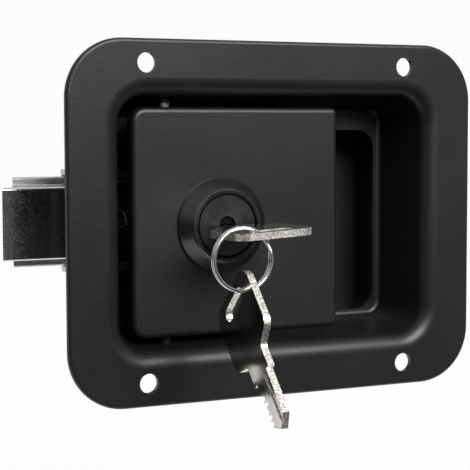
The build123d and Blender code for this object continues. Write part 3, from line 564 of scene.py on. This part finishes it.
class LATCH_OT_keys(bpy.types.Operator):
    """Nickel plates the two keys"""

    bl_idname = "latch.keys"
    bl_label = "Keys"

    def execute(self, context):
        nickel = tuple(context.scene.latch_finish.nickel_colour)
        # the last number is the share of tarnish and painted dark reflection; the spare's larger share
        # darkens it further
        dress("key", cut_blank("key_nickel", nickel, 0.14, (-0.05, 0, 1), (1, 0.1, 1), 0.2))
        dress("spare_key", cut_blank(
            "spare_nickel", nickel, 0.13, (1, 0, 0), (1, 1, 0.12), 0.5, turn=(0.77, 0, 0)))
        return {"FINISHED"}


class LATCH_OT_spring(bpy.types.Operator):
    """Winds the bolt's return spring with closed ends"""

    bl_idname = "latch.spring"
    bl_label = "Bolt spring"

    def execute(self, context):
        # A helix along X: its pitch is 1 over each closed end turn and 2.6 between them, and the
        # summed pitch is scaled so that the wire's ends reach the ends of the spring's box.
        wires = context.scene.latch_wires
        wire = wires.spring_wire
        turns = wires.spring_turns
        radius = (SPRING_HIGH[1] - SPRING_LOW[1] - wire) / 2
        middle_y = (SPRING_LOW[1] + SPRING_HIGH[1]) / 2
        middle_z = (SPRING_LOW[2] + SPRING_HIGH[2]) / 2
        closed, eased, open_pitch, steps = 1.0, 1.8, 2.6, 48
        turn = np.linspace(0, turns, int(turns * steps) + 1)
        pitch = np.interp(
            turn, [0, closed, eased, turns - eased, turns - closed, turns],
            [1, 1, open_pitch, open_pitch, 1, 1])
        rise = np.concatenate(([0.0], np.cumsum((pitch[1:] + pitch[:-1]) / 2 * np.diff(turn))))
        run = SPRING_HIGH[0] - SPRING_LOW[0] - wire
        x = SPRING_LOW[0] + wire / 2 + rise / rise[-1] * run
        path = np.column_stack((
            x, middle_y + radius * np.cos(2 * np.pi * turn), middle_z + radius * np.sin(2 * np.pi * turn)))
        points, faces = swept_wire(path, wire, 14, np.array([1.0, 0.0, 0.0]))
        steel = tuple(context.scene.latch_finish.steel_colour)
        piece = make_piece("return_spring", points, faces, drawn_metal(
            "spring_steel", shade(steel, 0.8), 0.3, (1, 1, 1)))
        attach(piece, "base")
        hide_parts("bolt_spring")
        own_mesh(piece)
        return {"FINISHED"}


class LATCH_OT_ring(bpy.types.Operator):
    """Bends the split ring: two close turns with a step between them"""

    bl_idname = "latch.ring"
    bl_label = "Split ring"

    def execute(self, context):
        wire = context.scene.latch_wires.ring_wire
        size = size_of("split_ring")
        radius = (size[2] - wire) / 2
        offset = (size[1] - wire) / 4
        # Two turns round Y; y goes from one to the other over 0.60 radian, as a smooth step.
        start, turns, crossover, steps = math.radians(28), 1.96, 0.60, 520
        angle = start + np.linspace(0, 2 * np.pi * turns, steps)
        share = np.clip((angle - start - np.pi * turns + crossover / 2) / crossover, 0, 1)
        step = share * share * (3 - 2 * share)
        y = RING_CENTRE[1] - offset + 2 * offset * step
        path = np.column_stack((
            RING_CENTRE[0] + radius * np.cos(angle), y, RING_CENTRE[2] + radius * np.sin(angle)))
        points, faces = swept_wire(path, wire, 18, np.array([0.0, 1.0, 0.0]))
        steel = tuple(context.scene.latch_finish.steel_colour)
        piece = make_piece("key_ring_wire", points, faces, drawn_metal(
            "ring_steel", shade(steel, 1.25), 0.16, (1, 1, 1), 5200.0))
        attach(piece, "ring_body")
        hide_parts("split_ring")
        return {"FINISHED"}


class LATCH_OT_thread(bpy.types.Operator):
    """Cuts the thread on the lock's barrel, with its two flats"""

    bl_idname = "latch.thread"
    bl_label = "Barrel thread"

    def execute(self, context):
        pitch = context.scene.latch_wires.thread_pitch
        _, nut_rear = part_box("lock_nut")
        _, body_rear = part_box("lock_body")
        washer_low, washer_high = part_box("lock_washer")
        # A ridge on a helix round Y: it stands on the barrel, sinks into it at both ends, and is
        # cut off where it would pass the barrel's flats. Its profile is (pitches, millimetres).
        washer_margin = 2.25 * MM
        flat = 8.15 * MM
        nut_gap, end_gap = 0.3 * MM, 0.9 * MM
        run_out, steps = 1.2, 90
        profile = np.array([(-0.5, -0.55), (-0.12, 0.26), (0.12, 0.26), (0.5, -0.55)])
        barrel = (washer_high[0] - washer_low[0]) / 2 - washer_margin
        start = nut_rear[1] + nut_gap
        stop = body_rear[1] - end_gap
        turns = (stop - start) / pitch
        angle = np.linspace(0, 2 * np.pi * turns, int(turns * steps))
        fade = np.clip(np.minimum(angle, angle[-1] - angle) / run_out, 0, 1)
        crest = barrel + profile[None, :, 1] * MM * fade[:, None]
        radius = np.minimum(crest, flat / np.maximum(np.abs(np.sin(angle)), 0.05)[:, None])
        y = start + (angle / (2 * np.pi))[:, None] * pitch + profile[None, :, 0] * pitch * 0.98
        points = np.stack((
            LOCK_CENTRE[0] + radius * np.cos(angle)[:, None], y,
            LOCK_CENTRE[2] + radius * np.sin(angle)[:, None]), axis=-1).reshape(-1, 3)
        faces = [tuple(face) for face in grid_faces(len(angle), 4)]
        last = (len(angle) - 1) * 4
        faces += [(3, 2, 1, 0), (last, last + 1, last + 2, last + 3)]
        colour = tuple(context.scene.latch_finish.lock_colour)
        piece = make_piece("barrel_thread", points, faces, turned_black(
            "thread_black", colour, 0.34, LOCK_CENTRE, 0.0003, 0.0))
        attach(piece, "paddle_body")
        return {"FINISHED"}


class LATCH_OT_welds(bpy.types.Operator):
    """Marks the spot welds that hold the rear cover on the pan"""

    bl_idname = "latch.welds"
    bl_label = "Spot welds"

    def execute(self, context):
        # Each mark is a disc on the cover's sloping lap. Its height is a ring at 0.72 of the radius,
        # a low dome inside the ring, and a rim that sinks into the sheet.
        width = context.scene.latch_wires.weld_width
        finish = context.scene.latch_finish
        slope = math.radians(12)
        sheet = 1.5 * MM
        mouth_half_x, mouth_half_z = 46.35 * MM, 33.95 * MM
        two_walls = 3.03 * MM
        depth = 15.6 * MM
        columns = (-14 * MM, 8 * MM, 30 * MM)
        rows = (-21 * MM, 21 * MM)
        drop = math.tan(slope) * (depth + sheet)
        half_x = mouth_half_x - drop + two_walls
        half_z = mouth_half_z - drop + two_walls
        spots = [(x, side * half_z, 0.0, side) for side in (1, -1) for x in columns]
        spots += [(side * half_x, z, side, 0.0) for side in (1, -1) for z in rows]
        share = np.linspace(0, 1, 14)
        height = 0.10 * np.exp(-((share - 0.72) / 0.13) ** 2) + 0.05 * (1 - share) - 0.12 * share ** 8
        angle = np.linspace(0, 2 * np.pi, 36, endpoint=False)
        ring_a = (share[:, None] * np.cos(angle)[None, :] * width / 2).ravel()
        ring_b = (share[:, None] * np.sin(angle)[None, :] * width / 2).ravel()
        rise = np.repeat(height, len(angle)) * MM
        points = []
        faces = []
        for x, z, toward_x, toward_z in spots:
            out = np.array([toward_x * math.cos(slope), math.sin(slope), toward_z * math.cos(slope)])
            along = np.array([abs(toward_z), 0.0, abs(toward_x)])
            across = np.cross(out, along)
            centre = np.array([x, depth, z])
            spot = centre + ring_a[:, None] * along + ring_b[:, None] * across + rise[:, None] * out
            base = len(points) * len(spot)
            points.append(spot)
            faces += [tuple(base + index for index in face) for face in grid_faces(len(share), len(angle))]
        piece = make_piece("weld_marks", np.concatenate(points), faces, powder_coat(
            "weld_powder", tuple(finish.powder_colour), finish.powder_roughness,
            finish.powder_grain, 0.00004))
        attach(piece, "base")
        return {"FINISHED"}


class LATCH_OT_studio(bpy.types.Operator):
    """Sets up the floor, the backdrop, the lamps and the camera"""

    bl_idname = "latch.studio"
    bl_label = "Studio"

    def execute(self, context):
        studio = context.scene.latch_studio
        make_floor(studio.floor_height)
        make_world()
        make_lamp("key_lamp", (0.13, -0.80, 0.55), 0.74, 0.50, studio.key_power)
        make_lamp("fill_lamp", (0.60, -0.68, -0.20), 0.30, 0.30, studio.fill_power)
        make_lamp("top_lamp", (0.0, 0.30, 0.9), 0.9, 0.6, studio.top_power)
        make_camera(studio.lens)
        context.scene.view_settings.view_transform = "Standard"
        return {"FINISHED"}


# ---------------------------------------------------------------- studio
def seen_white(tree, lit):
    """Shader that is plain white to the camera and in reflections, and lit by the lamps otherwise."""
    path = tree.nodes.new("ShaderNodeLightPath")
    reflected = calculate(tree, "MAXIMUM", path.outputs["Is Glossy Ray"], path.outputs["Is Transmission Ray"])
    seen = calculate(tree, "MAXIMUM", path.outputs["Is Camera Ray"], reflected)
    white = tree.nodes.new("ShaderNodeEmission")
    white.inputs["Color"].default_value = (1, 1, 1, 1)
    white.inputs["Strength"].default_value = 1.0
    mix = tree.nodes.new("ShaderNodeMixShader")
    tree.links.new(calculate(tree, "MULTIPLY", seen, 0.95), mix.inputs[0])
    tree.links.new(lit, mix.inputs[1])
    tree.links.new(white.outputs[0], mix.inputs[2])
    return mix.outputs[0]


def make_floor(height):
    """Floor that curves up into a backdrop: flat, then a quarter circle, then upright, swept along X."""
    front, flat, radius, top, half_width = -0.04, 1.6, 0.6, 3.2, 3.0
    turn = np.linspace(0, np.pi / 2, 24)
    depth = np.concatenate(([front, 0.0], flat + radius * np.sin(turn), [flat + radius]))
    level = np.concatenate(([0.0, 0.0], radius * (1 - np.cos(turn)), [top]))
    across = np.array([-half_width, half_width])
    points = np.array([(x, y, height + z) for y, z in zip(depth, level) for x in across])
    row = np.arange(len(depth) - 1)
    faces = np.column_stack((2 * row, 2 * row + 1, 2 * row + 3, 2 * row + 2))
    material, tree, shader = new_finish("studio_floor", (0.9, 0.9, 0.9), 0.0, 0.8)
    mottle = noise(tree, object_place(tree), 3.0, 2.0)
    pale = blend_colours(tree, mottle, (0.88, 0.88, 0.88), (0.92, 0.92, 0.92))
    tree.links.new(pale, shader.inputs["Base Color"])
    output = next(node for node in tree.nodes if node.type == "OUTPUT_MATERIAL")
    tree.links.new(seen_white(tree, shader.outputs["BSDF"]), output.inputs["Surface"])
    make_piece("studio_floor", points, faces, material)


def make_world():
    """World that is white to the camera and a soft grey, lighter overhead, to everything else."""
    world = bpy.data.worlds.new("studio_world")
    bpy.context.scene.world = world
    world.use_nodes = True
    tree = world.node_tree
    tree.nodes.clear()
    output = tree.nodes.new("ShaderNodeOutputWorld")
    coordinate = tree.nodes.new("ShaderNodeTexCoord")
    split = tree.nodes.new("ShaderNodeSeparateXYZ")
    tree.links.new(coordinate.outputs["Generated"], split.inputs[0])
    glow = spread(tree, split.outputs["Z"], 0.1, 0.6, 0.02, 0.35)
    soft = tree.nodes.new("ShaderNodeBackground")
    tree.links.new(glow, soft.inputs["Strength"])
    white = tree.nodes.new("ShaderNodeBackground")
    white.inputs["Strength"].default_value = 1.0
    white.inputs["Color"].default_value = (1, 1, 1, 1)
    path = tree.nodes.new("ShaderNodeLightPath")
    mix = tree.nodes.new("ShaderNodeMixShader")
    tree.links.new(path.outputs["Is Camera Ray"], mix.inputs[0])
    tree.links.new(soft.outputs[0], mix.inputs[1])
    tree.links.new(white.outputs[0], mix.inputs[2])
    tree.links.new(mix.outputs[0], output.inputs["Surface"])


def make_lamp(name, place, width, height, power):
    """Rectangular lamp that faces the middle of the flange."""
    lamp = bpy.data.lights.new(name, "AREA")
    lamp.shape = "RECTANGLE"
    lamp.size = width
    lamp.size_y = height
    lamp.energy = power
    holder = bpy.data.objects.new(name, lamp)
    bpy.context.scene.collection.objects.link(holder)
    turn = (-Vector(place)).to_track_quat("-Z", "Y").to_matrix().to_4x4()
    holder.matrix_world = Matrix.Translation(place) @ turn


def make_camera(lens):
    """Camera in front of the latch, to its left and a little above."""
    place = (-0.1754, -0.3420, 0.0243)
    look = Vector((0.4276, 0.9010, -0.0738))
    roll = math.radians(-0.18)
    camera = bpy.data.cameras.new("camera")
    camera.lens = lens
    camera.sensor_width = 36.0
    camera.clip_start = 0.01
    holder = bpy.data.objects.new("camera", camera)
    bpy.context.scene.collection.objects.link(holder)
    turn = look.to_track_quat("-Z", "Y").to_matrix() @ Matrix.Rotation(roll, 3, "Z")
    holder.matrix_world = Matrix.Translation(place) @ turn.to_4x4()
    bpy.context.scene.camera = holder


# ---------------------------------------------------------------- panel and registration
class LATCH_PT_panel(bpy.types.Panel):
    """Lists the latch's steps and settings"""

    bl_idname = "LATCH_PT_panel"
    bl_label = "Paddle latch"
    bl_space_type = "VIEW_3D"
    bl_region_type = "UI"
    bl_category = "Paddle latch"

    def draw(self, context):
        for operator in OPERATORS:
            self.layout.operator(operator.bl_idname)
        for settings in (context.scene.latch_finish, context.scene.latch_wires, context.scene.latch_studio):
            box = self.layout.box()
            for name in settings.__annotations__:
                box.prop(settings, name)


OPERATORS = (
    LATCH_OT_coat, LATCH_OT_bolt, LATCH_OT_fasteners, LATCH_OT_lock, LATCH_OT_keys, LATCH_OT_spring,
    LATCH_OT_ring, LATCH_OT_thread, LATCH_OT_welds, LATCH_OT_studio,
)
CLASSES = (LatchFinishSettings, LatchWireSettings, LatchStudioSettings, *OPERATORS, LATCH_PT_panel)


def register():
    """Registers the classes and hangs the settings on the scene."""
    for entry in CLASSES:
        bpy.utils.register_class(entry)
    bpy.types.Scene.latch_finish = bpy.props.PointerProperty(type=LatchFinishSettings)
    bpy.types.Scene.latch_wires = bpy.props.PointerProperty(type=LatchWireSettings)
    bpy.types.Scene.latch_studio = bpy.props.PointerProperty(type=LatchStudioSettings)


def unregister():
    """Takes the settings off the scene and unregisters the classes."""
    del bpy.types.Scene.latch_studio
    del bpy.types.Scene.latch_wires
    del bpy.types.Scene.latch_finish
    for entry in reversed(CLASSES):
        bpy.utils.unregister_class(entry)


def main():
    """Registers the add-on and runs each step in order."""
    register()
    for operator in OPERATORS:
        group, name = operator.bl_idname.split(".")
        getattr(getattr(bpy.ops, group), name)()


if __name__ == "__main__":
    main()
